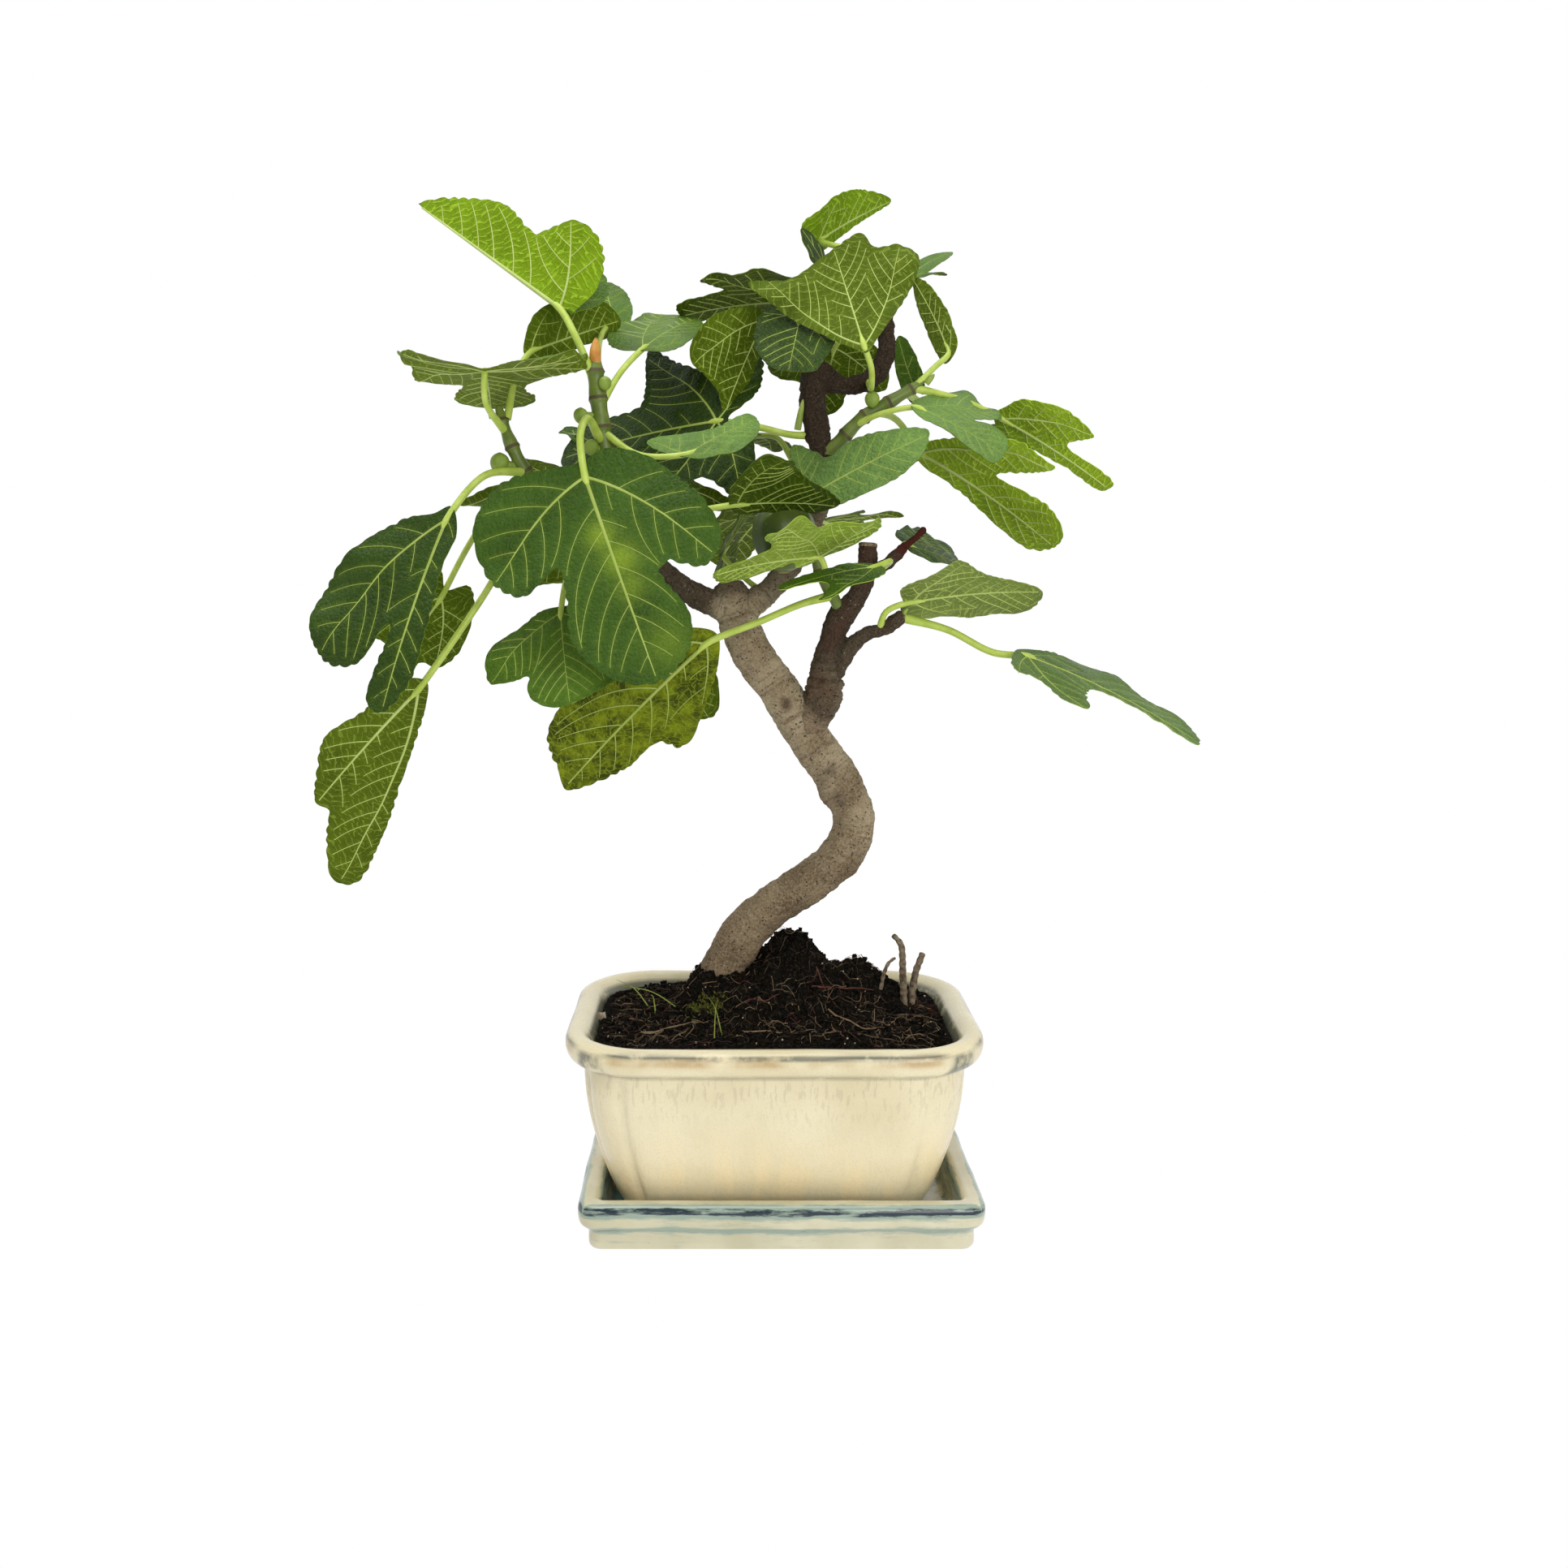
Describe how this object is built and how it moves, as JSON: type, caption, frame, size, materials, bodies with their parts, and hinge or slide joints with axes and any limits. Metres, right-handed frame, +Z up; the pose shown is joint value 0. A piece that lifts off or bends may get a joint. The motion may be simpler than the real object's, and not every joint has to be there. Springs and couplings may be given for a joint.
{
  "type": "common fig bonsai in a glazed pot",
  "caption": "Small fig tree with a curved trunk, lobed leaves and green figs, in a glazed rectangular pot on a saucer.",
  "frame": {"origin": "middle of the saucer's flat underside", "axes": "+Z up, +X to the right of the front view along the saucer's long side, +Y to the back"},
  "size_m": [0.4451, 0.2004, 0.5267],
  "materials": {
    "pot_glaze": "glossy cream glaze with fine grey runs",
    "saucer_glaze": "glossy cream glaze, blue-green where it pools",
    "soil": "damp fibrous peat",
    "bark": "grey-tan bark with fine pores",
    "bough_bark": "dark scaly bark",
    "foliage": "rough green leaf with pale raised veins"
  },
  "bodies": {
    "root": {"saucer": "saucer_glaze", "pot": "pot_glaze", "soil": "soil", "trunk": "bark", "left_bough": "bough_bark", "far_left_bough": "bough_bark", "middle_bough": "bough_bark", "upper_bough": "bough_bark", "top_bough": "bough_bark", "right_bough": "bough_bark", "side_bough": "bough_bark", "right_twig": "bough_bark", "tall_stub": "bough_bark", "short_stub": "bough_bark", "far_left_shoot": "foliage", "left_shoot": "foliage", "back_left_shoot": "foliage", "back_shoot": "foliage", "inner_left_leaf": "foliage", "fork_leaf": "foliage", "low_inner_leaf": "foliage", "top_shoot": "foliage", "upper_front_leaf": "foliage", "right_shoot": "foliage", "inner_right_shoot": "foliage", "low_twig_leaf": "foliage", "high_twig_leaf": "foliage", "near_side_leaf": "foliage", "far_side_leaf": "foliage"}
  },
  "joints": []
}
